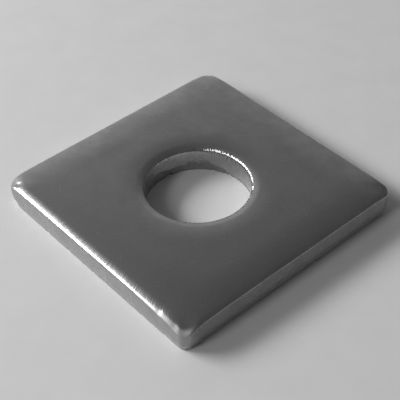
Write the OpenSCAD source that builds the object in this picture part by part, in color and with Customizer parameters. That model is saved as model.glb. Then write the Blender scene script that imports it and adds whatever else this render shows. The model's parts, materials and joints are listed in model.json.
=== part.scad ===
// Square plate washer, blanked and pierced from steel plate.
// Millimetres, +Z up. The origin is the centre of the bore on the flat seat face.
// The outer edge and the bore are cut from the same side, so both have the same section:
// a die roll where the metal was drawn down into the cut, a smooth upright land below it,
// and a fracture that tapers back into the plate down to the seat face.

/* [Plate] */
// Length of each side, across the smooth lands
side = 45; // [40:1:80]
// Thickness of the plate
thickness = 5; // [3.8:0.1:8]
// Plan radius of the four corners
corner_radius = 2.4; // [2.1:0.1:6]

/* [Bore] */
// Diameter of the bore's smooth land, a clearance hole for a 16 mm bolt
bore_d = 17.5; // [9:0.5:26]

/* [Outer edge] */
// How far the die roll reaches in from the outer wall
edge_roll_width = 2; // [1.2:0.1:2.3]
// Radius of the roll's gentle fall from the top face
edge_roll_radius = 2.4; // [2.2:0.1:8]
// Tight radius where the roll turns down into the wall
edge_radius = 0.4; // [0.2:0.1:1.2]
// Height of the fracture above the seat face
edge_fracture_height = 1.5; // [0.4:0.1:2]
// How far the fracture has tapered in from the wall at the seat face
edge_fracture_taper = 0.15; // [0.05:0.05:0.4]

/* [Bore edge] */
// How far the die roll reaches out from the bore's wall
bore_roll_width = 2.6; // [1.2:0.1:4]
// Radius of the roll's gentle fall from the top face
bore_roll_radius = 8; // [4.5:0.5:20]
// Tight radius where the roll turns down into the bore
bore_edge_radius = 0.5; // [0.2:0.1:0.9]
// Height of the fracture above the seat face
bore_fracture_height = 1.7; // [0.4:0.1:2.2]
// How far the fracture has tapered out from the wall at the seat face
bore_fracture_taper = 0.12; // [0.04:0.02:0.4]

/* [Hidden] */
$fn = 180;

// Flat metal that the bore's ring takes in beyond its roll
ring_margin = 1;
// Room that a cutting shape has past the face it cuts
cut_room = 1;

// A corner turns about a point that lies inside the roll
rim_depth = max(corner_radius, edge_roll_width);
// Half the straight length of a side
straight_half = side / 2 - rim_depth;
bore_r = bore_d / 2;
bore_ring_depth = bore_roll_width + ring_margin;

// Fills the bulge of an arc beyond its chord from a to b; outward is a direction away from the metal
module arc_fill(a, b, centre, radius, outward) {
    intersection() {
        translate(centre) circle(radius);
        polygon([a, b, b + radius * outward, a + radius * outward]);
    }
}

// Section of a sheared edge: x runs from the wall into the metal, y up from the seat face.
// The tight arc touches the wall and the gentle arc touches the top face. They meet in line,
// so the distance between their centres is the difference of their radii.
module sheared_edge(depth, roll_width, roll_radius, turn_radius, fracture_height, fracture_taper) {
    roll_top = [roll_width, thickness];
    roll_centre = roll_top - [0, roll_radius];
    centres_apart = roll_radius - turn_radius;
    across = roll_width - turn_radius;
    turn_centre = [turn_radius, roll_centre.y + sqrt(centres_apart ^ 2 - across ^ 2)];
    land_top = [0, turn_centre.y];
    blend = turn_centre + turn_radius / centres_apart * (turn_centre - roll_centre);
    polygon([
        [fracture_taper, 0],
        [0, fracture_height],
        land_top,
        blend,
        roll_top,
        [depth, thickness],
        [depth, 0]
    ]);
    arc_fill(land_top, blend, turn_centre, turn_radius, [-1, 0]);
    arc_fill(blend, roll_top, roll_centre, roll_radius, [0, 1]);
}

// Section of the outer edge, as deep as the corners turn
module outer_edge() {
    sheared_edge(rim_depth, edge_roll_width, edge_roll_radius, edge_radius,
        edge_fracture_height, edge_fracture_taper);
}

// Section of the bore's edge
module bore_edge() {
    sheared_edge(bore_ring_depth, bore_roll_width, bore_roll_radius, bore_edge_radius,
        bore_fracture_height, bore_fracture_taper);
}

// One straight side of the rim, on -Y
module rim_side() {
    translate([-straight_half, -side / 2, 0])
        rotate([90, 0, 90])
            linear_extrude(2 * straight_half) outer_edge();
}

// The corner that follows it, on +X -Y
module rim_corner() {
    translate([straight_half, -straight_half, 0])
        rotate([0, 0, -90])
            rotate_extrude(angle = 90)
                translate([rim_depth, 0]) mirror([1, 0]) outer_edge();
}

// The plate inside the rim, open for the bore's ring
module web() {
    difference() {
        translate([-straight_half, -straight_half, 0])
            cube([2 * straight_half, 2 * straight_half, thickness]);
        translate([0, 0, -cut_room])
            cylinder(r = bore_r + bore_ring_depth, h = thickness + 2 * cut_room);
    }
}

// The ring of metal that was drawn down into the bore
module bore_ring() {
    rotate_extrude() translate([bore_r, 0]) bore_edge();
}

module washer() {
    color("#7c7d7e") {
        web();
        bore_ring();
        for (turn = [0 : 90 : 270]) rotate([0, 0, turn]) {
            rim_side();
            rim_corner();
        }
    }
}

washer();
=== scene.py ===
"""A square plate washer of stamped steel, lying on a pale board in soft light from one side.

The washer is one sheared section, swept between its square outline and its round bore.
"""
import json
import math

import bpy
from mathutils import Matrix, Vector


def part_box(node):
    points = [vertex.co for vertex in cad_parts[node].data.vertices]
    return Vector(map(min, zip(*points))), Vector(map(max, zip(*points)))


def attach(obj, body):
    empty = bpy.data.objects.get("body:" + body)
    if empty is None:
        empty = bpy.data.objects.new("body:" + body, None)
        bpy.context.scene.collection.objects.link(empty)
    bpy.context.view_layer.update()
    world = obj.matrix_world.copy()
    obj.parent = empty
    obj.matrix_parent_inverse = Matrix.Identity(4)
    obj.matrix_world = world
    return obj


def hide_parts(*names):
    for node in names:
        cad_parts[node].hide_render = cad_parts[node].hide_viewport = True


MM = 0.001

# Outline in millimetres, with corners that are worn to unequal radii
FAR_CORNER_RADIUS = 1.5
LEFT_CORNER_RADIUS = 1.8
RIGHT_CORNER_RADIUS = 2.3
NEAR_CORNER_RADIUS = 1.5
NEAR_WAY = (1.0, -1.0, 0.0)
RIGHT_WAY = (1.0, 1.0, 0.0)
# Power of x and y that rounds the corners of the flat face
INNER_ROUNDING = 8.0

# Arcs of a die roll from the flat face to the wall: the radius, and the slope in degrees where it ends.
# A fade is the two distances, in millimetres, between which a form or a finish dies away.
EDGE_ROLL = [
    (42.0, 6.7),
    (1.38, 40.0),
    (0.24, 75.0),
    (0.2, 90.0),
]
# The roll on the -Y side, where the die had more clearance
DEEP_ROLL = [
    (42.0, 6.1),
    (3.78, 22.7),
    (0.91, 58.8),
    (0.15, 90.0),
]
DEEP_FADE = (0.0, 3.0)
# The same side towards the near corner, where the metal turns down more sharply
TIGHT_ROLL = [
    (42.0, 5.6),
    (4.69, 22.8),
    (0.7, 60.0),
    (0.15, 90.0),
]
TIGHT_FADE = (3.0, 13.0)
EDGE_ROLLS = (EDGE_ROLL, DEEP_ROLL, TIGHT_ROLL)
BORE_ROLL = [
    (40.0, 4.1),
    (5.19, 17.3),
    (0.62, 60.0),
    (0.46, 90.0),
]

# Fractures in millimetres. The bore's is lower on the side where the punch stood closer.
EDGE_FRACTURE_HEIGHT = 1.5
EDGE_FRACTURE_TAPER = 0.15
EDGE_TORN_HEIGHT = 1.4
BORE_FRACTURE_HEIGHT = 1.7
BORE_FRACTURE_TAPER = 0.12
SHALLOW_FRACTURE = 0.7
SHALLOW_WAY = (0.65, 0.76, 0.0)
# Cosines of the angle to that side, between which the fracture gets lower and the knocks on the lip begin
SHALLOW_TURN = (0.1, 0.8)
LIP_KNOCK_TURN = (0.0, 0.6)

# Rows of the section and columns of the sweep, with sizes in millimetres. The close rows of the fracture
# reach above it by its zone.
FOOT_RADIUS = 0.08
FOOT_STEPS = 4
FRACTURE_STEPS = 17
FRACTURE_ZONE = 0.6
LAND_STEPS = 5
ROLL_STEPS = (5, 8, 6, 4)
FACE_STEPS = 10
COLUMNS = 840
CORNER_POINTS = 24
MERGE_DISTANCE = 0.001

# What the press and the tumbler did to the shape, in millimetres
CORNER_DROOP = 0.8
CORNER_REACH = 5.0
NEAR_TIP_DROOP = 1.0
NEAR_CORNER_DROOP = 0.45
NEAR_CORNER_REACH = 14.0
DROOP_POWER = 2.0
STRAIGHT_FADE = (1.5, 5.0)
CREST_WAVE = 0.08
CREST_WAVE_SIZE = 2.4
CREST_FADE = (0.1, 1.4)
FACE_WAVE = 0.02
FACE_WAVE_SIZE = 11.0
FRACTURE_WANDER = 0.6
FRACTURE_WAVE = 1.8
FRACTURE_LINE_FADE = (-0.12, 0.12)
FRACTURE_STEP = 0.06
FRACTURE_GRAIN = 0.12
FRACTURE_GRAIN_SIZE = 0.9
FRACTURE_FADE = (0.3, 0.9)
CHIP_DEPTH = 0.3
CHIP_SIZE = 1.3
CHIP_HEIGHT = 0.7
CORNER_BITE = 0.4
CORNER_BITE_REACH = 3.0
CORNER_BITE_HEIGHT = 2.6
# Knocks at the left corner and beside the near one: the place, the depth and the radius
KNOCKS = [
    ((-20.4, -21.5), 0.15, 0.9),
    ((-22.5, -22.5), 0.4, 2.2),
    ((20.1, -22.4), 0.15, 1.0),
    ((16.6, -22.4), 0.15, 0.9),
]
# Draw lines die away into the face, and down towards the land
ROLLED_FADE = (0.8, 1.9)
BORE_ROLLED_FADE = (0.2, 0.8)
LAND_FADE = (1.1, 1.7)
# The crest of the -Y side is rubbed dull towards the near corner
NEAR_DULL_FADE = (2.0, 11.0)
CREST_DULL_FADE = (0.2, 0.8)
# Noise between which the tear swings from lowest to highest, and a chip grows from none to a whole one
WANDER_RANGE = (0.25, 0.75)
CHIP_RANGE = (0.56, 0.72)
SHAPE_SEED = 3.0

# Camera, from the photograph's straight edges and the bore's two rims, in millimetres and degrees
FRAME_PIXELS = 400
SENSOR_WIDTH = 36.0
FOCAL_PIXELS = 1050.0
VIEW_AZIMUTH = 49.86
VIEW_ELEVATION = 42.67
VIEW_ROLL = -1.945
VIEW_DISTANCE = 175.3
VIEW_TARGET = (-0.76, 0.98, 0.0)
VIEW_CLIP_START = 10.0

# Light: a wide window low on one side, a smaller one nearer the camera, a pale wall behind, and a glow.
# Windows are in metres and watts, and angles in degrees.
WINDOW_DISTANCE = 0.7
WINDOW_AZIMUTH = -56.1
WINDOW_ELEVATION = 30.1
WINDOW_WIDTH = 0.4
WINDOW_HEIGHT = 0.212
WINDOW_POWER = 4.44
SMALL_WINDOW_AZIMUTH = -5.9
SMALL_WINDOW_ELEVATION = 41.3
SMALL_WINDOW_WIDTH = 0.172
SMALL_WINDOW_HEIGHT = 0.213
SMALL_WINDOW_POWER = 0.89
ROOM_COLOUR = "#ffffff"
ROOM_LEVEL = 0.093
WALL_LEVEL = 0.38
WALL_AZIMUTH = -95.0
WALL_TOP = (27.6, 49.0)
WALL_SPREAD = (0.288, 1.0)
GLOW_LEVEL = 0.08
GLOW_AZIMUTH = -75.5
GLOW_ELEVATION = 44.3
GLOW_REACH = 45.5

# Finishes. Sizes and depths are in millimetres. A range is the noise between which a pattern goes from
# none to full.
STEEL_COLOUR = "#bebebe"
STEEL_STAIN = "#aeaeae"
STEEL_ROUGHNESS = 0.27
STAIN_SIZE = 3.0
STAIN_RANGE = (0.3, 0.7)
STAIN_DULLING = 0.03
ROLL_ROUGHNESS = 0.29
DULL_ROUGHNESS = 0.45
# Real draw lines are finer. These are as coarse as they need to be to show.
DRAW_LINE_SIZE = 0.3
DRAW_LINE_DEPTH = 0.025
DRAW_LINE_RANGE = (0.35, 0.65)
DRAW_LINE_SCUFF = 0.04
LIP_KNOCK_SIZE = 0.8
LIP_KNOCK_DEPTH = 0.4
TORN_COLOUR = "#bbbbbb"
# The bore's tear is painted darker than the outer one: painted shade for the dim inside of the hole
BORE_TEAR_WITH_PAINTED_SHADE = "#a2a2a2"
TORN_ROUGHNESS = 0.6
TORN_SIZE = 0.3
TORN_DEPTH = 0.08
DENT_SIZE = 0.5
DENT_DEPTH = 0.004
PIT_SIZE = 0.45
PIT_DEPTH = 0.012
PIT_RANGE = (0.7, 0.8)
BOARD_COLOUR = "#e2e2e2"
BOARD_MOTTLE = "#dedede"
BOARD_ROUGHNESS = 0.9
BOARD_SPECULAR = 0.2
MOTTLE_SIZE = 6.0
MOTTLE_RANGE = (0.3, 0.7)
FLOOR_HALF = 1.5


def linear(hex_colour):
    """Linear RGBA of an sRGB hex colour."""
    parts = [int(hex_colour[i:i + 2], 16) / 255 for i in (1, 3, 5)]
    return [p / 12.92 if p <= 0.04045 else ((p + 0.055) / 1.055) ** 2.4 for p in parts] + [1.0]


def add(tree, kind, feeds=None, **settings):
    """Adds a node to a tree, sets its properties, and feeds its inputs with sockets or plain values."""
    node = tree.nodes.new(kind)
    for name, value in settings.items():
        setattr(node, name, value)
    for key, value in (feeds or {}).items():
        if isinstance(value, bpy.types.NodeSocket):
            tree.links.new(value, node.inputs[key])
        else:
            node.inputs[key].default_value = value
    return node


# Section of the sheared edges


def between(a, b, steps):
    """Points from a to b, without either end."""
    return [tuple(p + (q - p) * i / steps for p, q in zip(a, b)) for i in range(1, steps)]


def roll_points(roll):
    """Points of a die roll from the wall up to the flat face.

    Each is its depth into the metal and its height from the face, which is below zero on the roll.
    """
    points = [(0.0, 0.0)]
    start = 0.0
    for (radius, slope), steps in zip(roll, ROLL_STEPS):
        depth, height = points[-1]
        end = math.radians(slope)
        for i in range(1, steps + 1):
            lean = start + (end - start) * i / steps
            across = radius * (math.sin(lean) - math.sin(start))
            down = radius * (math.cos(start) - math.cos(lean))
            points.append((depth - across, height - down))
        start = end
    wall = points[-1][0]
    return [(depth - wall, height) for depth, height in reversed(points)]


def sheared_edge(thickness, roll, fracture_height, fracture_taper):
    """Points of one edge as (depth into the metal, height), from the foot up to the flat top face."""
    points = []
    for i in range(FOOT_STEPS):
        turn = math.pi / 2 * i / FOOT_STEPS
        depth = fracture_taper + FOOT_RADIUS * (1 - math.sin(turn))
        points.append((depth, FOOT_RADIUS * (1 - math.cos(turn))))
    zone_height = fracture_height + FRACTURE_ZONE - FOOT_RADIUS
    for i in range(FRACTURE_STEPS + 1):
        height = FOOT_RADIUS + zone_height * i / FRACTURE_STEPS
        points.append((fracture_taper * max(0.0, 1 - height / fracture_height), height))
    rolled = [(depth, thickness + height) for depth, height in roll_points(roll)]
    return points + between(points[-1], rolled[0], LAND_STEPS) + rolled


def washer_section(thickness, edge_roll):
    """A closed section as (depth, 0 at the outside and 1 at the bore, height), in metres."""
    edge = sheared_edge(thickness, edge_roll, EDGE_FRACTURE_HEIGHT, EDGE_FRACTURE_TAPER)
    rim = sheared_edge(thickness, BORE_ROLL, BORE_FRACTURE_HEIGHT, BORE_FRACTURE_TAPER)
    outside = [(d, 0.0, h) for d, h in edge]
    bore = [(d, 1.0, h) for d, h in reversed(rim)]
    flat = max(outside[-1][0], bore[0][0])
    top = [(flat, i / FACE_STEPS, thickness) for i in range(1, FACE_STEPS)]
    seat = between(bore[-1], outside[0], FACE_STEPS)
    return [(d * MM, side, h * MM) for d, side, h in outside + top + bore + seat]


# Sweep of the section


def fading(tree, away, fade):
    """1 up to the first distance of the fade, in millimetres, and 0 beyond the second."""
    return add(tree, "ShaderNodeMapRange", {
        "Value": away,
        "From Min": fade[0] * MM,
        "From Max": fade[1] * MM,
        "To Min": 1.0,
        "To Max": 0.0,
    }, interpolation_type="SMOOTHSTEP").outputs[0]


def section_grid(tree, given):
    """A grid with a column for each place round the outline and a row for each point of the section.

    Gives the mesh, the place round the outline from 0 to 1, and the row.
    """
    grid = add(tree, "GeometryNodeMeshGrid", {
        "Size X": 1.0,
        "Size Y": 1.0,
        "Vertices X": add(tree, "ShaderNodeMath", {0: given["Columns"], 1: 1.0}).outputs[0],
        "Vertices Y": add(tree, "ShaderNodeMath", {0: given["Rows"], 1: 1.0}).outputs[0],
    })
    at = add(tree, "GeometryNodeInputPosition").outputs[0]
    place = add(tree, "ShaderNodeVectorMath", {0: at, 1: (0.5, 0.5, 0.0)})
    place = add(tree, "ShaderNodeSeparateXYZ", {0: place.outputs[0]}).outputs
    row = add(tree, "ShaderNodeMath", {0: place["Y"], 1: given["Rows"]}, operation="MULTIPLY")
    row = add(tree, "ShaderNodeMath", {0: row.outputs[0]}, operation="ROUND")
    row = add(tree, "ShaderNodeMath", {0: row.outputs[0], 1: given["Rows"]}, operation="FLOORED_MODULO")
    return grid.outputs["Mesh"], place["X"], row.outputs[0]


def square_outline(tree, given, around):
    """The place on the square outline, and the way into the metal there. Its corners aren't worn alike."""
    place = add(tree, "GeometryNodeInputPosition").outputs[0]
    near, right = [
        add(tree, "ShaderNodeVectorMath", {0: place, 1: way}, operation="DOT_PRODUCT").outputs["Value"]
        for way in (NEAR_WAY, RIGHT_WAY)
    ]
    minus_side = add(tree, "ShaderNodeMath", {0: given["Side"], 1: -1.0}, operation="MULTIPLY").outputs[0]
    at_sides = add(tree, "ShaderNodeMapRange", {
        "Value": right,
        "From Min": minus_side,
        "From Max": given["Side"],
        "To Min": given["Left corner radius"],
        "To Max": given["Right corner radius"],
    }).outputs[0]
    radius = add(tree, "ShaderNodeMapRange", {
        "Value": near,
        "From Min": minus_side,
        "From Max": 0.0,
        "To Min": given["Far corner radius"],
        "To Max": at_sides,
    })
    tighter = add(tree, "ShaderNodeMapRange", {
        "Value": near,
        "From Max": given["Side"],
        "To Max": add(tree, "ShaderNodeMath", {
            0: given["Near corner radius"],
            1: at_sides,
        }, operation="SUBTRACT").outputs[0],
    })
    radius = add(tree, "ShaderNodeMath", {0: radius.outputs[0], 1: tighter.outputs[0]})
    square = add(tree, "GeometryNodeCurvePrimitiveQuadrilateral", {
        "Width": given["Side"],
        "Height": given["Side"],
    })
    rounded = add(tree, "GeometryNodeFilletCurve", {
        "Curve": square.outputs[0],
        "Count": CORNER_POINTS,
        "Radius": radius.outputs[0],
    }, mode="POLY")
    along = add(tree, "GeometryNodeSampleCurve", {
        "Curves": rounded.outputs[0],
        "Factor": around,
    }, mode="FACTOR")
    inward = add(tree, "ShaderNodeVectorMath", {0: (0.0, 0.0, 1.0), 1: along.outputs["Tangent"]},
                 operation="CROSS_PRODUCT")
    return along.outputs["Position"], inward.outputs[0]


def near_corner_distance(tree, given, place):
    """How far a place is from the near corner of the square, in plan."""
    half = add(tree, "ShaderNodeMath", {0: given["Side"], 1: 0.5}, operation="MULTIPLY").outputs[0]
    corner = add(tree, "ShaderNodeCombineXYZ", {
        "X": half,
        "Y": add(tree, "ShaderNodeMath", {0: half, 1: -1.0}, operation="MULTIPLY").outputs[0],
    }).outputs[0]
    return add(tree, "ShaderNodeVectorMath", {0: place, 1: corner}, operation="DISTANCE").outputs["Value"]


def section_point(tree, given, row, outline):
    """Depth, side and height of a row of the section, which has the deeper roll on the -Y side.

    Gives as well how far this is the -Y side, from 0 to 1.
    """
    from_deep_side = add(tree, "ShaderNodeMath", {
        0: given["Side"],
        1: 0.5,
        2: add(tree, "ShaderNodeSeparateXYZ", {0: outline}).outputs["Y"],
    }, operation="MULTIPLY_ADD").outputs[0]
    deep = fading(tree, from_deep_side, DEEP_FADE)
    tight = fading(tree, near_corner_distance(tree, given, outline), TIGHT_FADE)
    sampled = []
    for section in range(len(EDGE_ROLLS)):
        index = add(tree, "ShaderNodeMath", {
            0: given["Rows"],
            1: section,
            2: row,
        }, operation="MULTIPLY_ADD")
        sampled.append(add(tree, "GeometryNodeSampleIndex", {
            "Geometry": given["Sections"],
            "Value": add(tree, "GeometryNodeInputPosition").outputs[0],
            "Index": index.outputs[0],
        }, data_type="FLOAT_VECTOR").outputs[0])
    usual, deepest, tightest = sampled
    drawn_side = add(tree, "ShaderNodeMix", {0: tight, 4: deepest, 5: tightest}, data_type="VECTOR")
    point = add(tree, "ShaderNodeMix", {0: deep, 4: usual, 5: drawn_side.outputs[1]}, data_type="VECTOR")
    point = add(tree, "ShaderNodeSeparateXYZ", {0: point.outputs[1]}).outputs
    return point["X"], point["Y"], point["Z"], deep


def plan_of_sweep(tree, given, outline, inward, depth, at_bore):
    """The place of each point in plan, the way into the metal, and the place on the nearest wall.

    The line where the flat face begins has rounder corners than the outline.
    """
    radial = add(tree, "ShaderNodeVectorMath", {0: outline}, operation="NORMALIZE").outputs[0]

    # The inner line is a square with round corners, from the sum of powers of x and y
    parts = add(tree, "ShaderNodeVectorMath", {0: outline}, operation="ABSOLUTE")
    parts = add(tree, "ShaderNodeSeparateXYZ", {0: parts.outputs[0]}).outputs
    power_x, power_y = [
        add(tree, "ShaderNodeMath", {0: parts[axis], 1: INNER_ROUNDING}, operation="POWER").outputs[0]
        for axis in "XY"
    ]
    size = add(tree, "ShaderNodeMath", {0: power_x, 1: power_y})
    size = add(tree, "ShaderNodeMath", {0: size.outputs[0], 1: 1 / INNER_ROUNDING}, operation="POWER")
    half = add(tree, "ShaderNodeMath", {0: given["Side"], 1: 0.5}, operation="MULTIPLY").outputs[0]
    inner_half = add(tree, "ShaderNodeMath", {0: half, 1: given["Edge depth"]}, operation="SUBTRACT")
    shrink = add(tree, "ShaderNodeMath", {0: inner_half.outputs[0], 1: size.outputs[0]}, operation="DIVIDE")
    inner = add(tree, "ShaderNodeVectorMath", {0: outline, "Scale": shrink.outputs[0]}, operation="SCALE")
    share = add(tree, "ShaderNodeMath", {0: depth, 1: given["Edge depth"]}, operation="DIVIDE")
    outside = add(tree, "ShaderNodeMix", {
        0: share.outputs[0],
        4: outline,
        5: inner.outputs[0],
    }, data_type="VECTOR", clamp_factor=False)

    reach = add(tree, "ShaderNodeMath", {0: depth, 1: given["Bore depth"]}, operation="MINIMUM")
    reach = add(tree, "ShaderNodeMath", {0: given["Bore radius"], 1: reach.outputs[0]})
    bore = add(tree, "ShaderNodeVectorMath", {0: radial, "Scale": reach.outputs[0]}, operation="SCALE")
    rim = add(tree, "ShaderNodeVectorMath", {0: radial, "Scale": given["Bore radius"]}, operation="SCALE")
    plan = add(tree, "ShaderNodeMix", {
        0: at_bore,
        4: outside.outputs[1],
        5: bore.outputs[0],
    }, data_type="VECTOR")
    into = add(tree, "ShaderNodeMix", {0: at_bore, 4: inward, 5: radial}, data_type="VECTOR")
    wall = add(tree, "ShaderNodeMix", {0: at_bore, 4: outline, 5: rim.outputs[0]}, data_type="VECTOR")
    return plan.outputs[1], into.outputs[1], wall.outputs[1]


def corner_distance(tree, given, place):
    """How far a place is from the nearest corner of the square, in plan."""
    half = add(tree, "ShaderNodeMath", {0: given["Side"], 1: 0.5}, operation="MULTIPLY").outputs[0]
    corner = add(tree, "ShaderNodeCombineXYZ", {"X": half, "Y": half}).outputs[0]
    folded = add(tree, "ShaderNodeVectorMath", {0: place}, operation="ABSOLUTE").outputs[0]
    return add(tree, "ShaderNodeVectorMath", {0: folded, 1: corner}, operation="DISTANCE").outputs["Value"]


def bore_share(tree, wall, turn, first, last):
    """A value that goes round the bore from first to last, towards the side where the punch stood closer."""
    way = add(tree, "ShaderNodeVectorMath", {0: wall}, operation="NORMALIZE")
    way = add(tree, "ShaderNodeVectorMath", {0: way.outputs[0], 1: SHALLOW_WAY}, operation="DOT_PRODUCT")
    return add(tree, "ShaderNodeMapRange", {
        "Value": way.outputs["Value"],
        "From Min": turn[0],
        "From Max": turn[1],
        "To Min": first,
        "To Max": last,
    }, interpolation_type="SMOOTHSTEP").outputs[0]


def fracture(tree, given, smooth, plan, wall, depth, at_bore, height):
    """Where the metal is torn, from 0 to 1, and how far the tear and the chips at its foot bite in."""
    wander = add(tree, "ShaderNodeTexNoise", {
        "Vector": plan,
        "W": given["Seed"],
        "Scale": 1 / (FRACTURE_WAVE * MM),
        "Detail": 3.0,
        "Roughness": 0.6,
    }, noise_dimensions="4D")
    line = add(tree, "ShaderNodeMix", {
        0: at_bore,
        2: given["Edge fracture"],
        3: bore_share(tree, wall, SHALLOW_TURN, given["Bore fracture"], given["Shallow bore fracture"]),
    }, data_type="FLOAT")
    lowest = add(tree, "ShaderNodeMath", {0: given["Fracture wander"], 1: -1.0}, operation="MULTIPLY")
    swing = add(tree, "ShaderNodeMapRange", {
        "Value": wander.outputs[0],
        "From Min": WANDER_RANGE[0],
        "From Max": WANDER_RANGE[1],
        "To Min": lowest.outputs[0],
        "To Max": given["Fracture wander"],
    })
    above = add(tree, "ShaderNodeMath", {0: height, 1: line.outputs[0]}, operation="SUBTRACT")
    above = add(tree, "ShaderNodeMath", {0: above.outputs[0], 1: swing.outputs[0]}, operation="SUBTRACT")
    on_wall = fading(tree, depth, FRACTURE_FADE)
    torn = add(tree, "ShaderNodeMath", {
        0: fading(tree, above.outputs[0], FRACTURE_LINE_FADE),
        1: on_wall,
    }, operation="MULTIPLY").outputs[0]
    grain = add(tree, "ShaderNodeTexNoise", {
        "Vector": smooth,
        "W": given["Seed"],
        "Scale": 1 / (FRACTURE_GRAIN_SIZE * MM),
        "Detail": 4.0,
        "Roughness": 0.65,
    }, noise_dimensions="4D")
    bite = add(tree, "ShaderNodeMath", {
        0: grain.outputs[0],
        1: given["Fracture grain"],
        2: given["Fracture step"],
    }, operation="MULTIPLY_ADD")
    bite = add(tree, "ShaderNodeMath", {0: bite.outputs[0], 1: torn}, operation="MULTIPLY")
    flaw = add(tree, "ShaderNodeTexNoise", {
        "Vector": wall,
        "W": given["Seed"],
        "Scale": 1 / (CHIP_SIZE * MM),
        "Detail": 2.0,
    }, noise_dimensions="4D")
    flaw = add(tree, "ShaderNodeMapRange", {
        "Value": flaw.outputs[0],
        "From Min": CHIP_RANGE[0],
        "From Max": CHIP_RANGE[1],
    }, interpolation_type="SMOOTHSTEP")
    foot = add(tree, "ShaderNodeMapRange", {
        "Value": height,
        "From Min": 0.0,
        "From Max": CHIP_HEIGHT * MM,
        "To Min": given["Chip depth"],
        "To Max": 0.0,
    })
    chip = add(tree, "ShaderNodeMath", {0: flaw.outputs[0], 1: foot.outputs[0]}, operation="MULTIPLY")

    # The feet of the corners are worn round, but not the near one's
    most = add(tree, "ShaderNodeMapRange", {
        "Value": near_corner_distance(tree, given, wall),
        "From Min": CORNER_BITE_REACH * MM,
        "From Max": 2 * CORNER_BITE_REACH * MM,
        "To Max": given["Corner bite"],
    })
    worn = add(tree, "ShaderNodeMapRange", {
        "Value": corner_distance(tree, given, wall),
        "From Max": CORNER_BITE_REACH * MM,
        "To Min": most.outputs[0],
        "To Max": 0.0,
    }, interpolation_type="SMOOTHSTEP")
    low = add(tree, "ShaderNodeMapRange", {
        "Value": height,
        "From Max": CORNER_BITE_HEIGHT * MM,
        "To Min": 1.0,
        "To Max": 0.0,
    })
    chip = add(tree, "ShaderNodeMath", {0: worn.outputs[0], 1: low.outputs[0], 2: chip.outputs[0]},
               operation="MULTIPLY_ADD")
    chip = add(tree, "ShaderNodeMath", {0: chip.outputs[0], 1: on_wall}, operation="MULTIPLY")
    bite = add(tree, "ShaderNodeMath", {0: bite.outputs[0], 1: chip.outputs[0]})
    return torn, bite.outputs[0]


def corner_droop(tree, given, outline, plan):
    """How far a corner hangs at each point, and how clear the outline is of a corner there, from 0 to 1.

    Each corner hangs over a short way. The near one hangs most, because its end of the plate is bent too.
    The knocks add to the droop.
    """
    towards = add(tree, "ShaderNodeVectorMath", {0: plan, 1: NEAR_WAY}, operation="DOT_PRODUCT")
    tip = add(tree, "ShaderNodeMapRange", {
        "Value": towards.outputs["Value"],
        "From Max": given["Side"],
        "To Min": given["Corner droop"],
        "To Max": given["Near tip droop"],
    }, interpolation_type="SMOOTHSTEP").outputs[0]
    droops = []
    for away, reach, most in [
        (corner_distance(tree, given, plan), CORNER_REACH, tip),
        (near_corner_distance(tree, given, plan), NEAR_CORNER_REACH, given["Near corner droop"]),
    ]:
        close = add(tree, "ShaderNodeMapRange", {
            "Value": away,
            "From Max": reach * MM,
            "To Min": 1.0,
            "To Max": 0.0,
        }).outputs[0]
        close = add(tree, "ShaderNodeMath", {0: close, 1: DROOP_POWER}, operation="POWER").outputs[0]
        droops.append(add(tree, "ShaderNodeMath", {0: close, 1: most}, operation="MULTIPLY").outputs[0])
    droop = add(tree, "ShaderNodeMath", {0: droops[0], 1: droops[1]}).outputs[0]

    for place, depth, radius in KNOCKS:
        centre = Vector((*place, 0.0)) * MM
        away = add(tree, "ShaderNodeVectorMath", {0: plan, 1: centre}, operation="DISTANCE")
        knock = add(tree, "ShaderNodeMapRange", {
            "Value": away.outputs["Value"],
            "From Max": radius * MM,
            "To Min": depth * MM,
            "To Max": 0.0,
        }, interpolation_type="SMOOTHSTEP")
        droop = add(tree, "ShaderNodeMath", {0: droop, 1: knock.outputs[0]}).outputs[0]
    straight = add(tree, "ShaderNodeMapRange", {
        "Value": corner_distance(tree, given, outline),
        "From Min": STRAIGHT_FADE[0] * MM,
        "From Max": STRAIGHT_FADE[1] * MM,
    }, interpolation_type="SMOOTHSTEP")
    return droop, straight.outputs[0]


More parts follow.
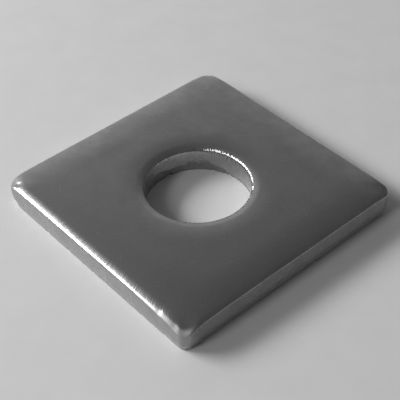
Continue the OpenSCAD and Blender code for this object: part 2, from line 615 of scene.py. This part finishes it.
def drawn_down(tree, given, outline, plan, wall, depth, at_bore, height, deep):
    """Where draw lines cross the edge, from 0 to 1, and how far each point lies below the plain section."""
    rolled, bore_rolled, close = [
        fading(tree, depth, fade) for fade in (ROLLED_FADE, BORE_ROLLED_FADE, CREST_FADE)
    ]
    droop, straight = corner_droop(tree, given, outline, plan)
    even = add(tree, "ShaderNodeMath", {0: straight, 1: at_bore}, operation="MAXIMUM").outputs[0]
    drawn = add(tree, "ShaderNodeMath", {0: rolled, 1: straight}, operation="MULTIPLY").outputs[0]
    drawn = add(tree, "ShaderNodeMath", {0: drawn, 1: deep}, operation="MULTIPLY").outputs[0]
    drawn = add(tree, "ShaderNodeMix", {0: at_bore, 2: drawn, 3: bore_rolled}, data_type="FLOAT").outputs[0]
    below_face = add(tree, "ShaderNodeMath", {0: given["Thickness"], 1: height}, operation="SUBTRACT")
    off_land = fading(tree, below_face.outputs[0], LAND_FADE)
    drawn = add(tree, "ShaderNodeMath", {0: drawn, 1: off_land}, operation="MULTIPLY").outputs[0]
    crest = add(tree, "ShaderNodeTexNoise", {
        "Vector": wall,
        "W": given["Seed"],
        "Scale": 1 / (CREST_WAVE_SIZE * MM),
        "Detail": 3.0,
        "Roughness": 0.6,
    }, noise_dimensions="4D")
    crest = add(tree, "ShaderNodeMath", {0: crest.outputs[0], 1: given["Crest wave"]}, operation="MULTIPLY")
    crest = add(tree, "ShaderNodeMath", {0: crest.outputs[0], 1: even}, operation="MULTIPLY")
    hang = add(tree, "ShaderNodeMath", {0: crest.outputs[0], 1: close, 2: droop}, operation="MULTIPLY_ADD")
    swell = add(tree, "ShaderNodeTexNoise", {
        "Vector": plan,
        "W": given["Seed"],
        "Scale": 1 / (FACE_WAVE_SIZE * MM),
        "Detail": 2.0,
    }, noise_dimensions="4D")
    swell = add(tree, "ShaderNodeMath", {0: swell.outputs[0], 1: given["Face wave"]}, operation="MULTIPLY")
    fall = add(tree, "ShaderNodeMath", {0: hang.outputs[0], 1: swell.outputs[0]})
    level = add(tree, "ShaderNodeMath", {0: height, 1: given["Thickness"]}, operation="DIVIDE")
    fall = add(tree, "ShaderNodeMath", {0: fall.outputs[0], 1: level.outputs[0]}, operation="MULTIPLY")
    return drawn, fall.outputs[0]


def sweep_tree(values):
    """Geometry nodes that sweep the sections from the outline to the bore, and work the flaws into them."""
    tree = bpy.data.node_groups.new("sheared_washer_sweep", "GeometryNodeTree")
    tree.interface.new_socket("Geometry", in_out="OUTPUT", socket_type="NodeSocketGeometry")
    tree.interface.new_socket("Sections", in_out="INPUT", socket_type="NodeSocketGeometry")
    kinds = {int: "NodeSocketInt", float: "NodeSocketFloat"}
    for name, value in values.items():
        kind = kinds.get(type(value), "NodeSocketMaterial")
        tree.interface.new_socket(name, in_out="INPUT", socket_type=kind)
    given = add(tree, "NodeGroupInput").outputs

    mesh, around, row = section_grid(tree, given)
    outline, inward = square_outline(tree, given, around)
    depth, at_bore, height, deep = section_point(tree, given, row, outline)
    plan, into, wall = plan_of_sweep(tree, given, outline, inward, depth, at_bore)
    lift = add(tree, "ShaderNodeCombineXYZ", {"Z": height})
    smooth = add(tree, "ShaderNodeVectorMath", {0: plan, 1: lift.outputs[0]}).outputs[0]
    torn, bite = fracture(tree, given, smooth, plan, wall, depth, at_bore, height)
    drawn, fall = drawn_down(tree, given, outline, plan, wall, depth, at_bore, height, deep)
    knocked = bore_share(tree, wall, LIP_KNOCK_TURN, 0.0, 1.0)
    knocked = add(tree, "ShaderNodeMath", {0: at_bore, 1: knocked}, operation="MULTIPLY").outputs[0]
    dulled = add(tree, "ShaderNodeMath", {
        0: fading(tree, near_corner_distance(tree, given, plan), NEAR_DULL_FADE),
        1: fading(tree, depth, CREST_DULL_FADE),
    }, operation="MULTIPLY").outputs[0]
    dulled = add(tree, "ShaderNodeMath", {0: dulled, 1: deep}, operation="MULTIPLY").outputs[0]
    bite = add(tree, "ShaderNodeVectorMath", {0: into, "Scale": bite}, operation="SCALE")
    fall = add(tree, "ShaderNodeVectorMath", {0: (0.0, 0.0, -1.0), "Scale": fall}, operation="SCALE")
    worked = add(tree, "ShaderNodeVectorMath", {0: smooth, 1: bite.outputs[0]})
    worked = add(tree, "ShaderNodeVectorMath", {0: worked.outputs[0], 1: fall.outputs[0]})

    for name, value, kind in [
        ("torn", torn, "FLOAT"),
        ("drawn", drawn, "FLOAT"),
        ("knocked", knocked, "FLOAT"),
        ("in_bore", at_bore, "FLOAT"),
        ("dulled", dulled, "FLOAT"),
        ("along_edge", wall, "FLOAT_VECTOR"),
    ]:
        mesh = add(tree, "GeometryNodeStoreNamedAttribute", {
            "Geometry": mesh,
            "Name": name,
            "Value": value,
        }, data_type=kind, domain="POINT").outputs[0]
    swept = add(tree, "GeometryNodeSetPosition", {"Geometry": mesh, "Position": worked.outputs[0]})
    closed = add(tree, "GeometryNodeMergeByDistance", {
        "Geometry": swept.outputs[0],
        "Distance": given["Merge"],
    })
    shaded = add(tree, "GeometryNodeSetShadeSmooth", {0: closed.outputs[0], "Shade Smooth": True})
    real = add(tree, "GeometryNodeRealizeInstances", {0: shaded.outputs[0]})
    dressed = add(tree, "GeometryNodeSetMaterial", {
        "Geometry": real.outputs[0],
        "Material": given["Steel"],
    })
    add(tree, "NodeGroupOutput", {0: dressed.outputs[0]})
    return tree


def make_washer(side, thickness, bore_radius, steel):
    """The washer as a plain mesh; its sizes are in millimetres."""
    sections = [washer_section(thickness, roll) for roll in EDGE_ROLLS]
    points = [point for section in sections for point in section]
    section = bpy.data.meshes.new("washer_sections")
    section.from_pydata(points, [], [])
    washer = bpy.data.objects.new("stamped_washer", section)
    bpy.context.scene.collection.objects.link(washer)
    values = {
        "Columns": COLUMNS,
        "Rows": len(sections[0]),
        "Side": side * MM,
        "Thickness": thickness * MM,
        "Far corner radius": FAR_CORNER_RADIUS * MM,
        "Left corner radius": LEFT_CORNER_RADIUS * MM,
        "Right corner radius": RIGHT_CORNER_RADIUS * MM,
        "Near corner radius": NEAR_CORNER_RADIUS * MM,
        "Edge depth": max(d for d, at_bore, h in points if at_bore == 0.0),
        "Bore radius": bore_radius * MM,
        "Bore depth": max(d for d, at_bore, h in points if at_bore == 1.0),
        "Edge fracture": EDGE_TORN_HEIGHT * MM,
        "Bore fracture": BORE_FRACTURE_HEIGHT * MM,
        "Shallow bore fracture": SHALLOW_FRACTURE * MM,
        "Fracture wander": FRACTURE_WANDER * MM,
        "Fracture step": FRACTURE_STEP * MM,
        "Fracture grain": FRACTURE_GRAIN * MM,
        "Corner droop": CORNER_DROOP * MM,
        "Near corner droop": NEAR_CORNER_DROOP * MM,
        "Near tip droop": NEAR_TIP_DROOP * MM,
        "Corner bite": CORNER_BITE * MM,
        "Crest wave": CREST_WAVE * MM,
        "Chip depth": CHIP_DEPTH * MM,
        "Face wave": FACE_WAVE * MM,
        "Merge": MERGE_DISTANCE * MM,
        "Seed": SHAPE_SEED,
        "Steel": steel,
    }
    sweep = washer.modifiers.new("sweep", "NODES")
    sweep.node_group = sweep_tree(values)
    for item in sweep.node_group.interface.items_tree:
        if item.in_out == "INPUT" and item.name in values:
            sweep[item.identifier] = values[item.name]
    evaluated = washer.evaluated_get(bpy.context.evaluated_depsgraph_get())
    mesh = bpy.data.meshes.new_from_object(evaluated)
    mesh.name = "stamped_washer"
    washer.modifiers.remove(sweep)
    washer.data = mesh
    return washer


# Finishes


def stamped_steel():
    """Mild steel, stamped and tumbled.

    That gives a grey satin face with faint stains, dents and pits, fine lines across the rolls where the
    punch drew the metal, and a matt grain where it tore.
    """
    material = bpy.data.materials.new("tumbled_stamped_steel")
    material.use_nodes = True
    tree = material.node_tree
    tree.nodes.clear()
    place = add(tree, "ShaderNodeTexCoord").outputs["Object"]
    torn, drawn, knocked, in_bore, dulled = [
        add(tree, "ShaderNodeAttribute", attribute_name=name).outputs["Fac"]
        for name in ("torn", "drawn", "knocked", "in_bore", "dulled")
    ]
    along_edge = add(tree, "ShaderNodeAttribute", attribute_name="along_edge").outputs["Vector"]

    # Faint stains on the face, a darker tone where the metal tore, and painted shade on the bore's tear
    stain = add(tree, "ShaderNodeTexNoise", {
        "Vector": place,
        "Scale": 1 / (STAIN_SIZE * MM),
        "Detail": 5.0,
        "Roughness": 0.6,
    }).outputs[0]
    clean = add(tree, "ShaderNodeMapRange", {
        "Value": stain,
        "From Min": STAIN_RANGE[0],
        "From Max": STAIN_RANGE[1],
    }).outputs[0]
    face = add(tree, "ShaderNodeMix", {
        0: clean,
        6: linear(STEEL_STAIN),
        7: linear(STEEL_COLOUR),
    }, data_type="RGBA").outputs[2]
    # In the bore the tear takes a darker colour, which is painted shade rather than the metal's own tone
    tear = add(tree, "ShaderNodeMix", {
        0: in_bore,
        6: linear(TORN_COLOUR),
        7: linear(BORE_TEAR_WITH_PAINTED_SHADE),
    }, data_type="RGBA").outputs[2]
    colour = add(tree, "ShaderNodeMix", {0: torn, 6: face, 7: tear}, data_type="RGBA").outputs[2]
    satin = add(tree, "ShaderNodeMapRange", {
        "Value": stain,
        "From Min": STAIN_RANGE[0],
        "From Max": STAIN_RANGE[1],
        "To Min": STEEL_ROUGHNESS + STAIN_DULLING,
        "To Max": STEEL_ROUGHNESS - STAIN_DULLING,
    }).outputs[0]

    # Draw lines over the rolls of the -Y side and the bore, some scuffed and some burnished. On one side of
    # the bore they are coarser, where the lip was knocked. The crest near one corner is rubbed dull.
    fineness = add(tree, "ShaderNodeMix", {
        0: knocked,
        2: 1 / (DRAW_LINE_SIZE * MM),
        3: 1 / (LIP_KNOCK_SIZE * MM),
    }, data_type="FLOAT").outputs[0]
    lines = add(tree, "ShaderNodeTexNoise", {
        "Vector": along_edge,
        "Scale": fineness,
        "Detail": 2.0,
        "Roughness": 0.6,
    }).outputs[0]
    scuff = add(tree, "ShaderNodeMapRange", {
        "Value": lines,
        "From Min": DRAW_LINE_RANGE[0],
        "From Max": DRAW_LINE_RANGE[1],
        "To Min": ROLL_ROUGHNESS - DRAW_LINE_SCUFF,
        "To Max": ROLL_ROUGHNESS + DRAW_LINE_SCUFF,
    }).outputs[0]
    satin = add(tree, "ShaderNodeMix", {0: drawn, 2: satin, 3: scuff}, data_type="FLOAT").outputs[0]
    satin = add(tree, "ShaderNodeMath", {
        0: dulled,
        1: DULL_ROUGHNESS,
        2: satin,
    }, operation="MULTIPLY_ADD").outputs[0]
    roughness = add(tree, "ShaderNodeMix", {
        0: torn,
        2: satin,
        3: TORN_ROUGHNESS,
    }, data_type="FLOAT").outputs[0]
    line_depth = add(tree, "ShaderNodeMix", {
        0: knocked,
        2: DRAW_LINE_DEPTH * MM,
        3: LIP_KNOCK_DEPTH * MM,
    }, data_type="FLOAT").outputs[0]
    normal = add(tree, "ShaderNodeBump", {
        "Strength": drawn,
        "Distance": line_depth,
        "Height": lines,
    }).outputs[0]

    # Shallow dents from the tumbler with a few deeper pits, and the torn grain
    dents = add(tree, "ShaderNodeTexNoise", {
        "Vector": place,
        "Scale": 1 / (DENT_SIZE * MM),
        "Detail": 3.0,
        "Roughness": 0.6,
    }).outputs[0]
    normal = add(tree, "ShaderNodeBump", {
        "Strength": 1.0,
        "Distance": DENT_DEPTH * MM,
        "Height": dents,
        "Normal": normal,
    }).outputs[0]
    pits = add(tree, "ShaderNodeTexNoise", {
        "Vector": place,
        "Scale": 1 / (PIT_SIZE * MM),
        "Detail": 1.0,
    }).outputs[0]
    pits = add(tree, "ShaderNodeMapRange", {
        "Value": pits,
        "From Min": PIT_RANGE[0],
        "From Max": PIT_RANGE[1],
        "To Min": 1.0,
        "To Max": 0.0,
    }).outputs[0]
    normal = add(tree, "ShaderNodeBump", {
        "Strength": 1.0,
        "Distance": PIT_DEPTH * MM,
        "Height": pits,
        "Normal": normal,
    }).outputs[0]
    grain = add(tree, "ShaderNodeTexNoise", {
        "Vector": place,
        "Scale": 1 / (TORN_SIZE * MM),
        "Detail": 4.0,
        "Roughness": 0.7,
    }).outputs[0]
    normal = add(tree, "ShaderNodeBump", {
        "Strength": torn,
        "Distance": TORN_DEPTH * MM,
        "Height": grain,
        "Normal": normal,
    }).outputs[0]
    surface = add(tree, "ShaderNodeBsdfPrincipled", {
        "Metallic": 1.0,
        "Base Color": colour,
        "Roughness": roughness,
        "Normal": normal,
    })
    add(tree, "ShaderNodeOutputMaterial", {"Surface": surface.outputs[0]})
    return material


def pale_board():
    """Matt painted board, which gives a pale grey with a faint mottle and no gloss."""
    material = bpy.data.materials.new("pale_board")
    material.use_nodes = True
    tree = material.node_tree
    tree.nodes.clear()
    mottle = add(tree, "ShaderNodeTexNoise", {
        "Vector": add(tree, "ShaderNodeTexCoord").outputs["Object"],
        "Scale": 1 / (MOTTLE_SIZE * MM),
        "Detail": 4.0,
        "Roughness": 0.6,
    }).outputs[0]
    mottle = add(tree, "ShaderNodeMapRange", {
        "Value": mottle,
        "From Min": MOTTLE_RANGE[0],
        "From Max": MOTTLE_RANGE[1],
    }).outputs[0]
    colour = add(tree, "ShaderNodeMix", {
        0: mottle,
        6: linear(BOARD_MOTTLE),
        7: linear(BOARD_COLOUR),
    }, data_type="RGBA").outputs[2]
    surface = add(tree, "ShaderNodeBsdfPrincipled", {
        "Base Color": colour,
        "Roughness": BOARD_ROUGHNESS,
        "Specular IOR Level": BOARD_SPECULAR,
    })
    add(tree, "ShaderNodeOutputMaterial", {"Surface": surface.outputs[0]})
    return material


# Stage


def make_floor():
    """The board that the washer lies on."""
    corners = [(x * FLOOR_HALF, y * FLOOR_HALF, 0) for x, y in ((-1, -1), (1, -1), (1, 1), (-1, 1))]
    mesh = bpy.data.meshes.new("floor")
    mesh.from_pydata(corners, [], [(0, 1, 2, 3)])
    mesh.materials.append(pale_board())
    floor = bpy.data.objects.new("floor", mesh)
    bpy.context.scene.collection.objects.link(floor)


def aim(position, roll, target):
    """A matrix that stands at position and looks at target with its own -Z, rolled about that line."""
    back = (position - target).normalized()
    right = Vector((0, 0, 1)).cross(back).normalized()
    up = back.cross(right)
    turned_right = math.cos(roll) * right + math.sin(roll) * up
    turned_up = math.cos(roll) * up - math.sin(roll) * right
    matrix = Matrix((turned_right, turned_up, back)).transposed().to_4x4()
    matrix.translation = position
    return matrix


def direction(azimuth, elevation):
    """The way from the washer to a camera or lamp; azimuth 0 looks along +Y."""
    a, e = math.radians(azimuth), math.radians(elevation)
    return Vector((math.sin(a) * math.cos(e), -math.cos(a) * math.cos(e), math.sin(e)))


def make_camera():
    """The camera, which stands where the photograph was taken from."""
    target = Vector(VIEW_TARGET) * MM
    camera = bpy.data.objects.new("camera", bpy.data.cameras.new("camera"))
    camera.data.sensor_width = SENSOR_WIDTH
    camera.data.lens = FOCAL_PIXELS / FRAME_PIXELS * SENSOR_WIDTH
    camera.data.clip_start = VIEW_CLIP_START * MM
    position = target + direction(VIEW_AZIMUTH, VIEW_ELEVATION) * VIEW_DISTANCE * MM
    camera.matrix_world = aim(position, math.radians(VIEW_ROLL), target)
    bpy.context.scene.collection.objects.link(camera)
    bpy.context.scene.camera = camera


def make_window(name, azimuth, elevation, width, height, power):
    """A window's light, which faces the washer."""
    lamp = bpy.data.lights.new(name, "AREA")
    lamp.shape = "RECTANGLE"
    lamp.size = width
    lamp.size_y = height
    lamp.energy = power
    window = bpy.data.objects.new(name, lamp)
    window.matrix_world = aim(direction(azimuth, elevation) * WINDOW_DISTANCE, 0.0, Vector((0, 0, 0)))
    bpy.context.scene.collection.objects.link(window)


def make_room():
    """Even light from all round, with a lighter wall on one side that fades out upwards, and a soft glow."""
    world = bpy.data.worlds.new("room")
    bpy.context.scene.world = world
    world.use_nodes = True
    tree = world.node_tree
    tree.nodes.clear()
    ray = add(tree, "ShaderNodeTexCoord").outputs["Generated"]
    up = add(tree, "ShaderNodeSeparateXYZ", {0: ray}).outputs["Z"]
    level_ray = add(tree, "ShaderNodeVectorMath", {0: ray, 1: (1.0, 1.0, 0.0)}, operation="MULTIPLY")
    level_ray = add(tree, "ShaderNodeVectorMath", {0: level_ray.outputs[0]}, operation="NORMALIZE")
    towards = add(tree, "ShaderNodeVectorMath", {
        0: level_ray.outputs[0],
        1: direction(WALL_AZIMUTH, 0.0),
    }, operation="DOT_PRODUCT").outputs["Value"]
    spread = add(tree, "ShaderNodeMapRange", {
        "Value": towards,
        "From Min": WALL_SPREAD[0],
        "From Max": WALL_SPREAD[1],
    }, interpolation_type="SMOOTHSTEP").outputs[0]
    wall = add(tree, "ShaderNodeMapRange", {
        "Value": up,
        "From Min": math.sin(math.radians(WALL_TOP[0])),
        "From Max": math.sin(math.radians(WALL_TOP[1])),
        "To Min": 1.0,
        "To Max": 0.0,
    }, interpolation_type="SMOOTHSTEP").outputs[0]
    wall = add(tree, "ShaderNodeMath", {0: wall, 1: spread}, operation="MULTIPLY").outputs[0]
    level = add(tree, "ShaderNodeMath", {
        0: wall,
        1: WALL_LEVEL,
        2: ROOM_LEVEL,
    }, operation="MULTIPLY_ADD").outputs[0]
    glow = add(tree, "ShaderNodeVectorMath", {
        0: ray,
        1: direction(GLOW_AZIMUTH, GLOW_ELEVATION),
    }, operation="DOT_PRODUCT").outputs["Value"]
    glow = add(tree, "ShaderNodeMapRange", {
        "Value": glow,
        "From Min": math.cos(math.radians(GLOW_REACH)),
        "To Max": GLOW_LEVEL,
    }, interpolation_type="SMOOTHSTEP").outputs[0]
    level = add(tree, "ShaderNodeMath", {0: level, 1: glow}).outputs[0]
    room = add(tree, "ShaderNodeBackground", {"Color": linear(ROOM_COLOUR), "Strength": level})
    add(tree, "ShaderNodeOutputWorld", {"Surface": room.outputs[0]})


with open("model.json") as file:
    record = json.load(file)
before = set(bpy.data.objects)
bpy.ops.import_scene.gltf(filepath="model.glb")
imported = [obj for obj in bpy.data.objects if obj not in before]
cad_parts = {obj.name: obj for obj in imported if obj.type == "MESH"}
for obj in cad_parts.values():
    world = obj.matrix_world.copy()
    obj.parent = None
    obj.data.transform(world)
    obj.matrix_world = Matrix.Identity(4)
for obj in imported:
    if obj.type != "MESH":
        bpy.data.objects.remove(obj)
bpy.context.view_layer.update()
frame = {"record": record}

low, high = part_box("washer")
side = (high[0] - low[0]) / MM
thickness = (high[2] - low[2]) / MM
bolt_hole = next(m for m in frame["record"]["mounts"] if m["name"] == "bolt_hole")
washer = make_washer(side, thickness, bolt_hole["dims"]["r_mm"], stamped_steel())
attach(washer, "root")
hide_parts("washer")

make_floor()
make_window("wide_window", WINDOW_AZIMUTH, WINDOW_ELEVATION, WINDOW_WIDTH, WINDOW_HEIGHT, WINDOW_POWER)
make_window("small_window", SMALL_WINDOW_AZIMUTH, SMALL_WINDOW_ELEVATION,
            SMALL_WINDOW_WIDTH, SMALL_WINDOW_HEIGHT, SMALL_WINDOW_POWER)
make_room()
make_camera()
bpy.context.scene.view_settings.view_transform = "Standard"
